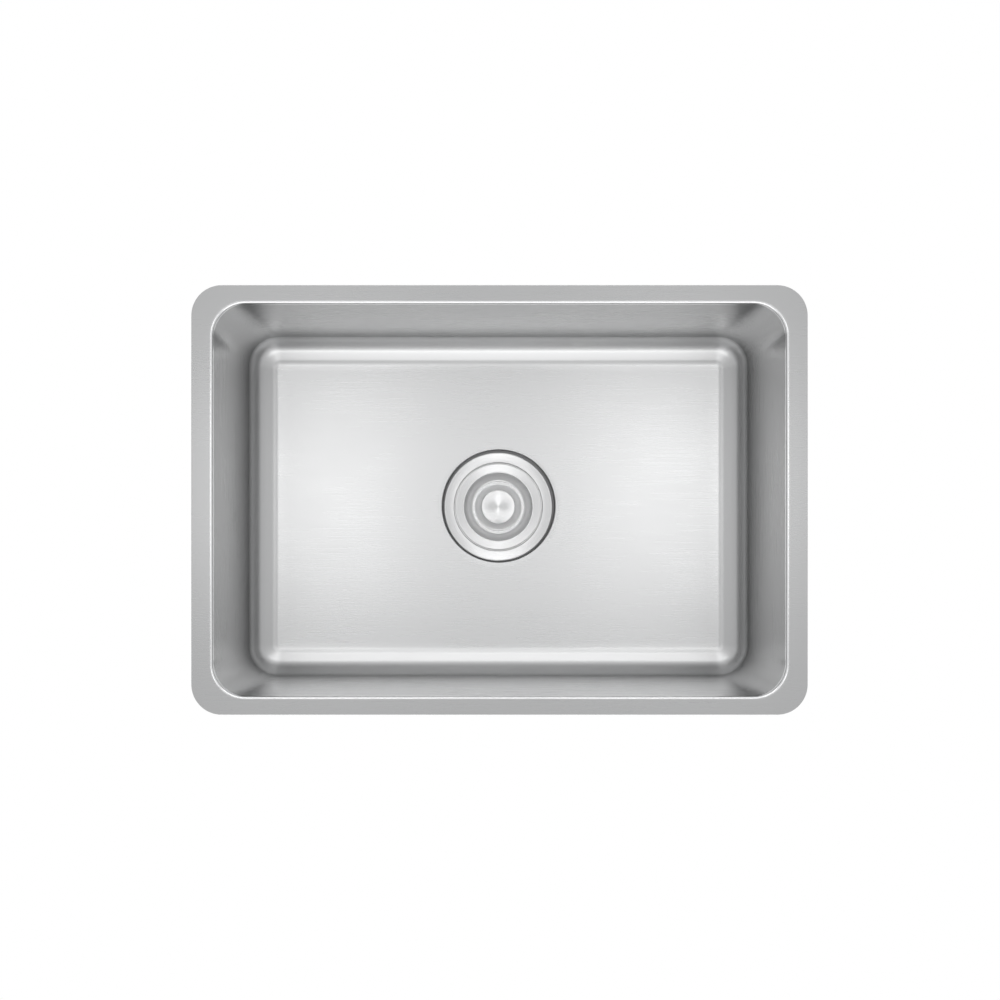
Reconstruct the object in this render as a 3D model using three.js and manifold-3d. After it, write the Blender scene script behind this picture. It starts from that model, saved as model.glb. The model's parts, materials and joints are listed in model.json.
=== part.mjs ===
// An undermount kitchen sink: a one-piece pressed steel bowl, its sound-deadening pads, and a
// basket strainer with a sealing lid, a lift-out basket, a lock nut and a slip-jointed tailpiece.
// Millimetres, +Z up, +X along the length. The origin is the middle of the rim's top face, which is
// bonded to the underside of a worktop. +Y is the side that faces the wall.
import * as THREE from "three";
import { mergeVertices } from "three/addons/utils/BufferGeometryUtils.js";
import Module from "manifold-3d";

// ---- Fits ---------------------------------------------------------------------------------------
const seatGap = 0.1; // between faces that bear on each other
const glueLine = 0.3; // between a stuck-on pad and the steel
const threadClearance = 0.4; // between a thread's crest and the bore around it
const slideClearance = 0.5; // around the lid and the basket, which lift out by hand

// ---- Pressed bowl -------------------------------------------------------------------------------
const openingLength = 526; // between the walls just under the rim
const openingWidth = 360;
const openingCorner = 30;
const endRim = 17; // flat width of the rim, outside its bead
const sideRim = 14.5;
const rimCorner = 28;
const bowlSheet = 1.2;
const beadBend = 1.3; // inside radius of the roll from the rim down into the wall
const bowlDepth = 203; // rim to floor at the drain
const wallLean = 4.6; // how far a wall leans in on its way down
const floorFillet = 24;
const leastFloorCorner = 4;
const floorSlope = 0.012; // fall towards the drain, per millimetre
const recessDepth = 6; // the pressed seat of the strainer
const recessBend = 0.8; // inside radius of its upper edge
const recessGap = 3.35; // around the strainer's flange
const pressedCorner = 1; // small inside corner at the foot of the recess

// ---- Strainer body ------------------------------------------------------------------------------
const cupRadius = 39.8;
const basketLedge = 2.4; // width of the shoulder that the basket hangs on
const lidLedge = 4.1; // width of the shoulder that the lid seals on
const flangeWidth = 10.85;
const flangeDrop = 0.2; // crown of the flange below the sink floor
const flangeFall = 0.7; // from the crown down to the lid
const flangeRoll = 1.4; // rounding of the outer edge
const bodySheet = 1.2;
const ledgeSpacing = 5.5; // from the lid's shoulder down to the basket's
const gasketThickness = 1.3;
const gasketOverhang = 1.3; // past the flange's edge
const threadDepth = 1;
const threadPitch = 4.2;
const neckPlain = 4.5; // unthreaded neck through the sink floor
const chamberFillet = 5;
const chamberGap = 10; // under the basket
const chamberFall = 5; // from the cup's foot to the outlet
const outletFit = 0.35; // outlet's bore beyond the tailpiece's
const spigotWall = 4;
const spigotLength = 20;

// ---- Clamping stack under the sink --------------------------------------------------------------
const washerThickness = 3;
const washerWidth = 11.4;
const frictionThickness = 1;
const lockNutHeight = 13;
const lockNutWall = 5;
const lockNutLugs = 8;
const lugReach = 4.5;
const lugWidth = 9;

// ---- Tailpiece ----------------------------------------------------------------------------------
const tailpieceRadius = 19.05;
const tailpieceWall = 0.9;
const tailpieceLength = 100;
const tailFlangeThickness = 1.5;
const tailWasherThickness = 2.5;
const slipNutEngagement = 13; // how far it reaches up the spigot
const slipNutWall = 3.6;
const slipNutLip = 3.5;
const slipNutRibs = 10;
const ribReach = 2.2;
const ribWidth = 5;

// ---- Basket -------------------------------------------------------------------------------------
const basketSheet = 0.8;
const basketRimFit = 0.4; // clearance of its rim in the upper cup
const basketCupFit = 0.9; // clearance of its wall in the cup
const basketDepth = 30;
const basketTaper = 3.4;
const basketFillet = 5;
const basketRingThickness = 1;
const holeRadius = 2.2;
const holePitch = 12; // along a ring of holes
const firstHoleRing = 12; // radius
const holeRingSpacing = 10;
const wallHoleHeight = 13; // above the basket's foot
const postRadius = 3;
const postFoot = 5; // radius of the shoulder that the post stands on
const postFootHeight = 1.5;
const postFit = 0.15; // clearance of the post in the basket floor and the knob
const basketKnobRadius = 7;
const basketKnobHeight = 7;
const knobBoreDepth = 4;
const knobUnderLid = 6.2; // clear space between the basket's knob and the lid's stud
const rivetRadius = 5.5;
const rivetHeight = 2.2;

// ---- Lid ----------------------------------------------------------------------------------------
const lidSheet = 0.8;
const lidSealThickness = 1.2;
const lidSealInset = 0.5; // from the lid's edge and from the shoulder's edge
const lidEdge = 9.85; // width of the flat edge ring
const edgeRoll = 2.2; // bend from the flat edge down into the finger trough
const troughDepth = 10;
const troughOuterSlope = 9.55; // width of each side of the trough
const troughInnerSlope = 10.2;
const troughFillet = 3.2;
const plateauRoll = 1.6;
const plateauDrop = 1.4; // below the flat edge ring
const knobOverhang = 1.7; // past the plateau that it stands on
const knobHeight = 3.1;
const knobChamfer = 0.7;
const studRadius = 3;
const studFit = 0.3;
const studTail = 1.1; // past the nut
const lidWasherRadius = 7;
const lidWasherThickness = 1;
const lidNutAcrossFlats = 10;
const lidNutHeight = 4;

// ---- Sound-deadening pads -----------------------------------------------------------------------
const padThickness = 3;
const floorPadInner = 15; // from the drain recess
const floorPadOuter = 24; // from the floor's edge
const wallPadEnd = 60; // from the roundings of the corners
const wallPadEdge = 34; // from the ends of the flat wall

// ---- Facets -------------------------------------------------------------------------------------
const cornerSteps = 8;
const shortSideSteps = 2;
const longSideSteps = 3;
const filletSteps = 5;
const smallArcSteps = 2;
const roundSides = 36;
const smallSides = 18;
const holeSides = 6;
const padTiles = 4; // along a floor pad, so that it follows the falling floor

// ---- Sizes that follow --------------------------------------------------------------------------
const basketSeatRadius = cupRadius + basketLedge;
const lidSeatRadius = basketSeatRadius + lidLedge;
const flangeRadius = lidSeatRadius + flangeWidth;
const recessRadius = flangeRadius + recessGap;
const recessEdge = recessBend + bowlSheet;
const beadRadius = beadBend + bowlSheet;
const neckRoot = basketSeatRadius + bodySheet;
const neckCrest = neckRoot + threadDepth;
const drainHoleRadius = neckCrest + slideClearance;
const outletRadius = tailpieceRadius - tailpieceWall + outletFit;
const spigotRoot = outletRadius + spigotWall;
const spigotCrest = spigotRoot + threadDepth;
const stackBore = neckCrest + threadClearance;
const fillet = Math.min(floorFillet, openingCorner - leastFloorCorner);
const footInset = wallLean + fillet; // of the floor's edge, from the opening

// Heights of the strainer, from the sink floor at the drain.
const recessFloor = -recessDepth;
const bodyUnderside = recessFloor + seatGap + gasketThickness + seatGap;
const lidLedgeTop = bodyUnderside + bodySheet;
const flangeCrown = -flangeDrop;
const flangeInner = flangeCrown - flangeFall;
const basketLedgeTop = lidLedgeTop - ledgeSpacing;
const basketRimBottom = basketLedgeTop + seatGap + basketRingThickness + seatGap;
const basketFoot = basketRimBottom + basketSheet - basketDepth;
const chamberFoot = basketFoot - chamberGap;
const outletTop = chamberFoot - chamberFall;
const spigotEnd = outletTop - spigotLength;
const washerTop = recessFloor - bowlSheet - seatGap;
const frictionTop = washerTop - washerThickness - seatGap;
const lockNutTop = frictionTop - frictionThickness - seatGap;
const lockNutFoot = lockNutTop - lockNutHeight;
const neckThreadTop = bodyUnderside - neckPlain;
const neckThreads = Math.ceil((neckThreadTop - lockNutFoot) / threadPitch);
const neckThreadFoot = neckThreadTop - neckThreads * threadPitch;
const spigotThreads = Math.floor((spigotLength - bodySheet) / threadPitch) - 1;
const spigotThreadTop = spigotEnd + (spigotThreads + 0.5) * threadPitch;
const tailWasherTop = spigotEnd - seatGap;
const tailFlangeTop = tailWasherTop - tailWasherThickness - seatGap;
const slipNutLipTop = tailFlangeTop - tailFlangeThickness - seatGap;
const lidTop = lidLedgeTop + seatGap + lidSealThickness + seatGap + lidSheet;
const lidRadius = lidSeatRadius - slideClearance;
const troughRadius = lidRadius - lidEdge - troughOuterSlope;
const plateauRadius = troughRadius - troughInnerSlope;
const plateauTop = lidTop - plateauDrop;
const lidWasherTop = plateauTop - lidSheet - seatGap;
const lidNutFoot = lidWasherTop - lidWasherThickness - seatGap - lidNutHeight;
const studFoot = lidNutFoot - studTail;
const basketKnobTop = studFoot - knobUnderLid;

// ---- Materials ----------------------------------------------------------------------------------
const steel = (colour, roughness) =>
  new THREE.MeshStandardMaterial({ color: colour, metalness: 1, roughness });
const plain = (colour, roughness) =>
  new THREE.MeshStandardMaterial({ color: colour, metalness: 0, roughness });
const satinSteel = steel(0xc4c6c6, 0.38);
const turnedSteel = steel(0xd2d3d3, 0.24);
const polishedSteel = steel(0xd8dadb, 0.14);
const castMetal = steel(0x9d9f9e, 0.5);
const blackRubber = plain(0x202123, 0.75);
const greyRubber = plain(0x4b4d50, 0.85);
const fibre = plain(0xb59a72, 0.9);
const whitePlastic = plain(0xe6e6e2, 0.5);

// ---- Shape helpers ------------------------------------------------------------------------------
const wasm = await Module();
wasm.setup();

/** A closed geometry as a solid that can be joined to others and cut by them. */
function solidOf(geometry) {
  const bare = geometry.clone();
  bare.deleteAttribute("normal");
  bare.deleteAttribute("uv");
  const merged = mergeVertices(bare, 1e-4);
  return new wasm.Manifold(
    new wasm.Mesh({
      numProp: 3,
      vertProperties: merged.attributes.position.array,
      triVerts: new Uint32Array(merged.index.array),
    }),
  );
}

/** A solid back as a geometry. */
function geometryOf(solid) {
  const mesh = solid.getMesh();
  const geometry = new THREE.BufferGeometry();
  geometry.setAttribute("position", new THREE.BufferAttribute(mesh.vertProperties, 3));
  geometry.setIndex(new THREE.BufferAttribute(mesh.triVerts, 1));
  geometry.computeVertexNormals();
  return geometry;
}

/** Points [radius, height] of an arc about (r, z), from one angle to another, in degrees. */
function arc(r, z, radius, from, to, steps) {
  return Array.from({ length: steps + 1 }, (_, i) => {
    const angle = THREE.MathUtils.degToRad(from + ((to - from) * i) / steps);
    return [r + radius * Math.cos(angle), z + radius * Math.sin(angle)];
  });
}

/**
 * The outline of a folded sheet. Its upper face runs inwards through the corners given as
 * [radius, height, bend radius]; both ends are level.
 */
function sheet(corners, thickness) {
  const face = (below) =>
    corners.flatMap(([r, z, bend], i) => {
      if (bend === 0) return [[r, z - below]];
      const before = Math.atan2(z - corners[i - 1][1], r - corners[i - 1][0]);
      const after = Math.atan2(corners[i + 1][1] - z, corners[i + 1][0] - r);
      const turn = Math.atan2(Math.sin(after - before), Math.cos(after - before));
      const side = Math.sign(turn);
      const reach = bend * Math.tan(Math.abs(turn) / 2);
      const centreR = r - reach * Math.cos(before) - side * bend * Math.sin(before);
      const centreZ = z - reach * Math.sin(before) + side * bend * Math.cos(before);
      const from = THREE.MathUtils.radToDeg(before) - side * 90;
      const sweep = THREE.MathUtils.radToDeg(turn);
      return arc(centreR, centreZ, bend - side * below, from, from + sweep, smallArcSteps);
    });
  return [...face(0), ...face(thickness).reverse()];
}

/** A turned piece: an outline of [radius, height] points spun about the Z axis. */
function turned(outline, sides = roundSides) {
  const points = outline.map(([r, z]) => new THREE.Vector2(r, z));
  const doubleArea = points.reduce((sum, p, i) => {
    const next = points[(i + 1) % points.length];
    return sum + p.x * next.y - next.x * p.y;
  }, 0);
  if (doubleArea < 0) points.reverse();
  const touchesAxis = outline.some(([r]) => r === 0);
  if (touchesAxis) {
    while (points[0].x !== 0 || points.at(-1).x !== 0) points.push(points.shift());
  } else {
    points.push(points[0].clone());
  }
  return new THREE.LatheGeometry(points, sides).rotateX(Math.PI / 2);
}

/** A flat ring that lies under the height given. */
function flatRing(inner, outer, top, thickness, sides = roundSides) {
  const foot = top - thickness;
  return turned([[inner, foot], [outer, foot], [outer, top], [inner, top]], sides);
}

/** The outside of a thread as ridges, from the height given down to its foot. */
function ridges(root, top, count) {
  const points = [];
  for (let i = 0; i < count; i += 1) {
    const start = top - i * threadPitch;
    points.push([root, start]);
    points.push([root + threadDepth, start - threadPitch / 2]);
  }
  points.push([root, top - count * threadPitch]);
  return points;
}

/** An outline for extruding: a circle with evenly spaced straight-sided lugs on it. */
function luggedOutline(radius, count, width, reach) {
  const outline = new THREE.Shape();
  const halfAngle = width / 2 / radius;
  const tip = radius + reach;
  for (let i = 0; i < count; i += 1) {
    const middle = (i * 2 * Math.PI) / count;
    const next = middle + (2 * Math.PI) / count;
    const corner = (angle, r) => [r * Math.cos(angle), r * Math.sin(angle)];
    const tipAngle = (halfAngle * radius) / tip;
    if (i === 0) outline.moveTo(...corner(middle - halfAngle, radius));
    outline.lineTo(...corner(middle - tipAngle, tip));
    outline.lineTo(...corner(middle + tipAngle, tip));
    outline.lineTo(...corner(middle + halfAngle, radius));
    outline.absarc(0, 0, radius, middle + halfAngle, next - halfAngle, false);
  }
  return outline;
}

/** A round hole, for an outline. */
function roundHole(radius, sides = roundSides) {
  const points = Array.from({ length: sides }, (_, i) => {
    const angle = (-2 * Math.PI * i) / sides;
    return new THREE.Vector2(radius * Math.cos(angle), radius * Math.sin(angle));
  });
  return new THREE.Path(points);
}

/** A mesh with its name, in the place where its geometry was made. */
function piece(name, geometry, material) {
  const mesh = new THREE.Mesh(geometry, material);
  mesh.name = name;
  return mesh;
}

// ---- Bowl ---------------------------------------------------------------------------------------
const quarterSteps = shortSideSteps + cornerSteps + longSideSteps;

/** Height of the floor's upper face, which falls evenly towards the drain. */
function floorHeight(x, y) {
  return -bowlDepth + floorSlope * (Math.hypot(x, y) - recessRadius - recessEdge);
}

/** Points [x, y] of a rounded rectangle, anticlockwise from the +X axis. */
function roundedRectangle(halfLength, halfWidth, corner) {
  const quarter = [];
  for (let i = 0; i < shortSideSteps; i += 1) {
    quarter.push([halfLength, ((halfWidth - corner) * i) / shortSideSteps]);
  }
  quarter.push(
    ...arc(halfLength - corner, halfWidth - corner, corner, 0, 90, cornerSteps),
  );
  for (let i = longSideSteps - 1; i >= 0; i -= 1) {
    quarter.push([((halfLength - corner) * i) / longSideSteps, halfWidth]);
  }
  const back = quarter.slice(1).reverse();
  return [
    ...quarter.slice(0, -1),
    ...back.map(([x, y]) => [-x, y]),
    ...quarter.slice(0, -1).map(([x, y]) => [-x, -y]),
    ...back.map(([x, y]) => [x, -y]),
  ];
}

/** A ring of the bowl's skin, set in (or out, if negative) from the opening under the rim. */
function wallRing(inset, corner, heightAt) {
  const half = [openingLength / 2 - inset, openingWidth / 2 - inset];
  return roundedRectangle(...half, corner).map(([x, y], i) => [x, y, heightAt(i)]);
}

/** A round ring of the bowl's skin. */
function roundRing(radius, height) {
  const count = 4 * quarterSteps;
  return Array.from({ length: count }, (_, i) => {
    const angle = (2 * Math.PI * i) / count;
    return [radius * Math.cos(angle), radius * Math.sin(angle), height];
  });
}

/** The drain recess, from the hole outwards. The lower face is the same shape, a sheet lower. */
function recessRings(below) {
  const foot = -bowlDepth - recessDepth - below;
  const wall = recessRadius + below;
  const roll = recessEdge - below;
  const centre = [recessRadius + recessEdge, -bowlDepth - recessEdge];
  const edge = arc(...centre, roll, 180, 90, smallArcSteps);
  return [
    roundRing(drainHoleRadius, foot),
    roundRing(wall - pressedCorner, foot),
    roundRing(wall, foot + pressedCorner),
    ...edge.map(([r, z]) => roundRing(r, z)),
  ];
}

/** The floor fillet, from the floor up to the foot of the wall. */
function filletRings(below) {
  const floorEdge = wallRing(footInset, openingCorner - fillet, () => 0);
  const rise = floorEdge.map(([x, y]) => floorHeight(x, y) + fillet);
  return arc(0, 0, fillet + below, 270, 360, filletSteps).map(([out, up]) =>
    wallRing(footInset - out, openingCorner - fillet + out, (i) => rise[i] + up),
  );
}

/** The roll from the wall's top out to the flat rim. */
function beadRings(below) {
  return arc(0, 0, beadRadius - below, 180, 90, smallArcSteps).map(([out, up]) => {
    const inset = -beadRadius - out;
    return wallRing(inset, openingCorner - inset, () => up - beadRadius);
  });
}

/** The rim's outer edge at one height. */
function rimRing(height) {
  const halfLength = openingLength / 2 + beadRadius + endRim;
  const halfWidth = openingWidth / 2 + beadRadius + sideRim;
  return roundedRectangle(halfLength, halfWidth, rimCorner).map(([x, y]) => [x, y, height]);
}

/** Joins rings with equal counts of points, and the last to the first, into one closed skin. */
function skinOf(rings) {
  const count = rings[0].length;
  const index = [];
  rings.forEach((_, i) => {
    const here = i * count;
    const there = ((i + 1) % rings.length) * count;
    for (let j = 0; j < count; j += 1) {
      const next = (j + 1) % count;
      index.push(here + j, there + j, there + next);
      index.push(here + j, there + next, here + next);
    }
  });
  const geometry = new THREE.BufferGeometry();
  const positions = new Float32Array(rings.flat(2));
  geometry.setAttribute("position", new THREE.BufferAttribute(positions, 3));
  geometry.setIndex(index);
  geometry.computeVertexNormals();
  return geometry;
}

function sinkBowl() {
  const upper = [...recessRings(0), ...filletRings(0), ...beadRings(0), rimRing(0)];
  const lower = [
    ...recessRings(bowlSheet),
    ...filletRings(bowlSheet),
    ...beadRings(bowlSheet),
    rimRing(-bowlSheet),
  ];
  return piece("sink_bowl", skinOf([...upper, ...lower.reverse()]), satinSteel);
}

// ---- Pads ---------------------------------------------------------------------------------------
/** A pad under the floor, on one side of the drain. Its upper face follows the falling floor. */
function floorPad(name, side) {
  const near = recessRadius + floorPadInner;
  const far = openingLength / 2 - footInset - floorPadOuter;
  const width = openingWidth - 2 * (footInset + floorPadOuter);
  const geometry = new THREE.BoxGeometry(far - near, width, padThickness, padTiles, padTiles);
  geometry.translate((side * (near + far)) / 2, 0, -bowlSheet - glueLine - padThickness / 2);
  const place = geometry.attributes.position;
  for (let i = 0; i < place.count; i += 1) {
    place.setZ(i, place.getZ(i) + floorHeight(place.getX(i), place.getY(i)));
  }
  return piece(name, geometry, greyRubber);
}

/** A pad on the outside of the wall that faces the way of its turn about Z. */
function wallPad(name, turn, halfOpening, wallLength) {
  const wallTop = -beadRadius;
  const wallFoot = floorHeight(halfOpening - footInset, 0) + fillet;
  const lean = Math.atan(wallLean / (wallTop - wallFoot));
  const height = wallTop - wallFoot - 2 * wallPadEdge;
  const length = wallLength - 2 * (openingCorner + wallPadEnd);
  const wallAtMiddle = halfOpening - wallLean / 2;
  const pad = piece(name, new THREE.BoxGeometry(padThickness, length, height), greyRubber);
  pad.position.x = wallAtMiddle + bowlSheet + glueLine + padThickness / 2;
  pad.position.z = (wallTop + wallFoot) / 2;
  pad.rotation.y = lean;
  const facing = new THREE.Group();
  facing.rotation.z = turn;
  facing.add(pad);
  return facing;
}

// ---- Strainer body and what clamps it -----------------------------------------------------------
function strainerBody() {
  const cupFoot = chamberFoot + chamberFillet;
  const lipInner = flangeRadius - bodySheet;
  const stepOuter = lidSeatRadius + bodySheet;
  const lowerCup = cupRadius + bodySheet;
  const outline = [
    [flangeRadius, bodyUnderside],
    ...arc(flangeRadius - flangeRoll, flangeCrown - flangeRoll, flangeRoll, 0, 90, smallArcSteps),
    [lidSeatRadius + flangeFall, flangeInner],
    [lidSeatRadius, flangeInner - flangeFall],
    [lidSeatRadius, lidLedgeTop],
    [basketSeatRadius, lidLedgeTop],
    [basketSeatRadius, basketLedgeTop],
    [cupRadius, basketLedgeTop],
    ...arc(cupRadius - chamberFillet, cupFoot, chamberFillet, 0, -90, smallArcSteps),
    [outletRadius + 2 * threadDepth, outletTop],
    [outletRadius, outletTop - 2 * threadDepth],
    [outletRadius, spigotEnd],
    [spigotRoot, spigotEnd],
    ...ridges(spigotRoot, spigotThreadTop, spigotThreads).reverse(),
    [spigotRoot, outletTop - bodySheet],
    ...arc(cupRadius - chamberFillet, cupFoot, chamberFillet + bodySheet, -90, 0, smallArcSteps),
    [lowerCup, neckThreadFoot - threadDepth],
    ...ridges(neckRoot, neckThreadTop, neckThreads).reverse(),
    [neckRoot, bodyUnderside],
    [stepOuter, bodyUnderside],
    [stepOuter, flangeInner - bodySheet],
    [lipInner, flangeCrown - bodySheet],
    [lipInner, bodyUnderside],
  ];
  return piece("strainer_body", turned(outline), turnedSteel);
}

function flangeGasket() {
  const ring = flatRing(
    drainHoleRadius + slideClearance,
    flangeRadius + gasketOverhang,
    recessFloor + seatGap + gasketThickness,
    gasketThickness,
  );
  return piece("flange_gasket", ring, blackRubber);
}

function rubberWasher() {
  const ring = flatRing(stackBore, stackBore + washerWidth, washerTop, washerThickness);
  return piece("rubber_washer", ring, blackRubber);
}

function frictionRing() {
  const ring = flatRing(stackBore, stackBore + washerWidth - 1, frictionTop, frictionThickness);
  return piece("friction_ring", ring, fibre);
}

function lockNut() {
  const outline = luggedOutline(stackBore + lockNutWall, lockNutLugs, lugWidth, lugReach);
  outline.holes.push(roundHole(stackBore));
  const nut = new THREE.ExtrudeGeometry(outline, {
    depth: lockNutHeight,
    bevelEnabled: false,
    curveSegments: smallArcSteps + 1,
  });
  nut.translate(0, 0, lockNutFoot);
  return piece("lock_nut", nut, castMetal);
}

// ---- Tailpiece ----------------------------------------------------------------------------------
function tailpieceWasher() {
  const ring = flatRing(outletRadius, spigotRoot, tailWasherTop, tailWasherThickness);
  return piece("tailpiece_washer", ring, whitePlastic);
}

function tailpiece() {
  const bore = tailpieceRadius - tailpieceWall;
  const foot = tailFlangeTop - tailpieceLength;
  const shoulder = tailFlangeTop - tailFlangeThickness;
  const outline = [
    [bore, foot],
    [tailpieceRadius, foot],
    [tailpieceRadius, shoulder],
    [spigotRoot, shoulder],
    [spigotRoot, tailFlangeTop],
    [bore, tailFlangeTop],
  ];
  return piece("tailpiece", turned(outline), polishedSteel);
}

function slipNut() {
  const bore = spigotCrest + threadClearance;
  const foot = slipNutLipTop - slipNutLip;
  const top = spigotEnd + slipNutEngagement;
  const outline = luggedOutline(bore + slipNutWall, slipNutRibs, ribWidth, ribReach);
  outline.holes.push(roundHole(tailpieceRadius + threadClearance));
  const blank = new THREE.ExtrudeGeometry(outline, {
    depth: top - foot,
    bevelEnabled: false,
    curveSegments: smallArcSteps,
  });
  blank.translate(0, 0, foot);
  const cutLength = top - slipNutLipTop + 1;
  const cutter = new THREE.CylinderGeometry(bore, bore, cutLength, roundSides);
  cutter.rotateX(Math.PI / 2).translate(0, 0, slipNutLipTop + cutLength / 2);
  const nut = solidOf(blank).subtract(solidOf(cutter));
  return piece("slip_nut", geometryOf(nut), castMetal);
}

// ---- Basket -------------------------------------------------------------------------------------
/** A cutter for one hole: a bar along Z about the origin. */
function drillBar() {
  const bar = new THREE.CylinderGeometry(holeRadius, holeRadius, 4 * basketFillet, holeSides);
  return bar.rotateX(Math.PI / 2);
}

/** An even count of holes at about the pitch, around a ring. */
function holesAround(radius) {
  return 2 * Math.floor((Math.PI * radius) / holePitch);
}

function basketCup() {
  const top = cupRadius - basketCupFit - basketSheet;
  const rimHeight = basketRimBottom + basketSheet;
  const floorTop = basketFoot + basketSheet;
  const section = [
    [basketSeatRadius - basketRimFit, rimHeight, 0],
    [top, rimHeight, basketSheet + 0.2],
    [top - basketTaper, floorTop, basketFillet],
    [postRadius + postFit, floorTop, 0],
  ];
  let cup = solidOf(turned(sheet(section, basketSheet)));
  const flatRadius = top - basketTaper - basketFillet;
  for (let ring = firstHoleRing; ring + holeRadius < flatRadius; ring += holeRingSpacing) {
    const count = holesAround(ring);
    for (let i = 0; i < count; i += 1) {
      const bar = drillBar().translate(ring, 0, basketFoot);
      cup = cup.subtract(solidOf(bar.rotateZ((2 * Math.PI * i) / count)));
    }
  }
  const wallHoles = holesAround(top - basketTaper);
  for (let i = 0; i < wallHoles; i += 1) {
    const bar = drillBar().rotateY(Math.PI / 2);
    bar.translate(top - basketTaper, 0, basketFoot + wallHoleHeight);
    cup = cup.subtract(solidOf(bar.rotateZ((2 * Math.PI * (i + 0.5)) / wallHoles)));
  }
  return piece("basket_cup", geometryOf(cup), satinSteel);
}

function basketRing() {
  const ring = flatRing(
    cupRadius,
    basketSeatRadius - basketRimFit,
    basketRimBottom - seatGap,
    basketRingThickness,
  );
  return piece("basket_ring", ring, blackRubber);
}

const postStand = basketFoot + basketSheet + seatGap;
const knobFoot = basketKnobTop - basketKnobHeight;

function basketPost() {
  const tip = knobFoot + knobBoreDepth - seatGap;
  const outline = [
    [0, basketFoot - rivetHeight / 2],
    [postRadius, basketFoot - rivetHeight / 2],
    [postRadius, postStand],
    [postFoot, postStand],
    [postFoot, postStand + postFootHeight],
    [postRadius, postStand + postFootHeight],
    [postRadius, tip],
    [0, tip],
  ];
  return piece("basket_post", turned(outline, smallSides), polishedSteel);
}

function basketKnob() {
  const bore = postRadius + postFit;
  const roll = basketKnobHeight / 4;
  const outline = [
    [0, knobFoot + knobBoreDepth],
    [bore, knobFoot + knobBoreDepth],
    [bore, knobFoot],
    [basketKnobRadius - roll, knobFoot],
    [basketKnobRadius, knobFoot + roll],
    ...arc(basketKnobRadius - roll, basketKnobTop - roll, roll, 0, 90, smallArcSteps),
    [0, basketKnobTop],
  ];
  return piece("basket_knob", turned(outline, smallSides), polishedSteel);
}

function basketRivet() {
  const top = basketFoot - seatGap;
  const bore = postRadius + postFit;
  const pocket = basketFoot - rivetHeight / 2 - seatGap;
  const outline = [
    [0, top - rivetHeight],
    [rivetRadius - 1, top - rivetHeight],
    [rivetRadius, top - 1],
    [rivetRadius, top],
    [bore, top],
    [bore, pocket],
    [0, pocket],
  ];
  return piece("basket_rivet", turned(outline, smallSides), polishedSteel);
}

// ---- Lid ----------------------------------------------------------------------------------------
function lidPlate() {
  const flatInner = lidRadius - lidEdge;
  const section = [
    [lidRadius, lidTop, 0],
    [flatInner, lidTop, edgeRoll],
    [troughRadius, lidTop - troughDepth, troughFillet],
    [plateauRadius, plateauTop, plateauRoll],
    [studRadius + studFit, plateauTop, 0],
  ];
  return piece("lid_plate", turned(sheet(section, lidSheet)), turnedSteel);
}

function lidSeal() {
  const ring = flatRing(
    basketSeatRadius + lidSealInset,
    lidRadius - lidSealInset,
    lidLedgeTop + seatGap + lidSealThickness,
    lidSealThickness,
  );
  return piece("lid_seal", ring, blackRubber);
}

function lidKnob() {
  const foot = plateauTop + seatGap;
  const top = foot + knobHeight;
  const knobRadius = plateauRadius + knobOverhang;
  const outline = [
    [0, studFoot],
    [studRadius, studFoot],
    [studRadius, foot],
    [knobRadius - knobChamfer, foot],
    [knobRadius, foot + knobChamfer],
    [knobRadius, top - knobChamfer],
    [knobRadius - knobChamfer, top],
    [0, top],
  ];
  return piece("lid_knob", turned(outline), turnedSteel);
}

function lidWasher() {
  const bore = studRadius + studFit;
  const ring = flatRing(bore, lidWasherRadius, lidWasherTop, lidWasherThickness, smallSides);
  return piece("lid_washer", ring, polishedSteel);
}

function lidNut() {
  const corner = lidNutAcrossFlats / 2 / Math.cos(Math.PI / 6);
  const corners = Array.from({ length: 6 }, (_, i) => {
    const angle = (i * Math.PI) / 3;
    return new THREE.Vector2(corner * Math.cos(angle), corner * Math.sin(angle));
  });
  const hexagon = new THREE.Shape(corners);
  hexagon.holes.push(roundHole(studRadius + studFit, smallSides));
  const nut = new THREE.ExtrudeGeometry(hexagon, { depth: lidNutHeight, bevelEnabled: false });
  nut.translate(0, 0, lidNutFoot);
  return piece("lid_nut", nut, polishedSteel);
}

// ---- Assembly -----------------------------------------------------------------------------------
const sink = new THREE.Group();
sink.add(sinkBowl());
sink.add(floorPad("floor_pad_right", 1), floorPad("floor_pad_left", -1));
sink.add(
  wallPad("wall_pad_right", 0, openingLength / 2, openingWidth),
  wallPad("wall_pad_back", Math.PI / 2, openingWidth / 2, openingLength),
  wallPad("wall_pad_left", Math.PI, openingLength / 2, openingWidth),
  wallPad("wall_pad_front", -Math.PI / 2, openingWidth / 2, openingLength),
);

const strainer = new THREE.Group();
strainer.position.z = -bowlDepth;
strainer.add(strainerBody(), flangeGasket(), rubberWasher(), frictionRing(), lockNut());
strainer.add(tailpieceWasher(), tailpiece(), slipNut());
strainer.add(basketCup(), basketRing(), basketPost(), basketKnob(), basketRivet());
strainer.add(lidPlate(), lidSeal(), lidKnob(), lidWasher(), lidNut());
sink.add(strainer);

export default sink;
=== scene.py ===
# %% [markdown]
# # An undermount kitchen sink
#
# The sink is one pressed sheet of stainless steel: a flat rim that is bonded under a worktop,
# four walls that lean in a little, and a floor that falls towards a round drain. A basket
# strainer with a sealing lid fills the drain, and a nut under the floor clamps it. This lesson
# dresses the measured model of the sink, piece by piece, in the same places and sizes.

# %% Load the measured model
import json
from math import atan2, copysign, cos, degrees, hypot, pi, radians, sin, tan

import bmesh
import bpy
from mathutils import Matrix, Vector


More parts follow.
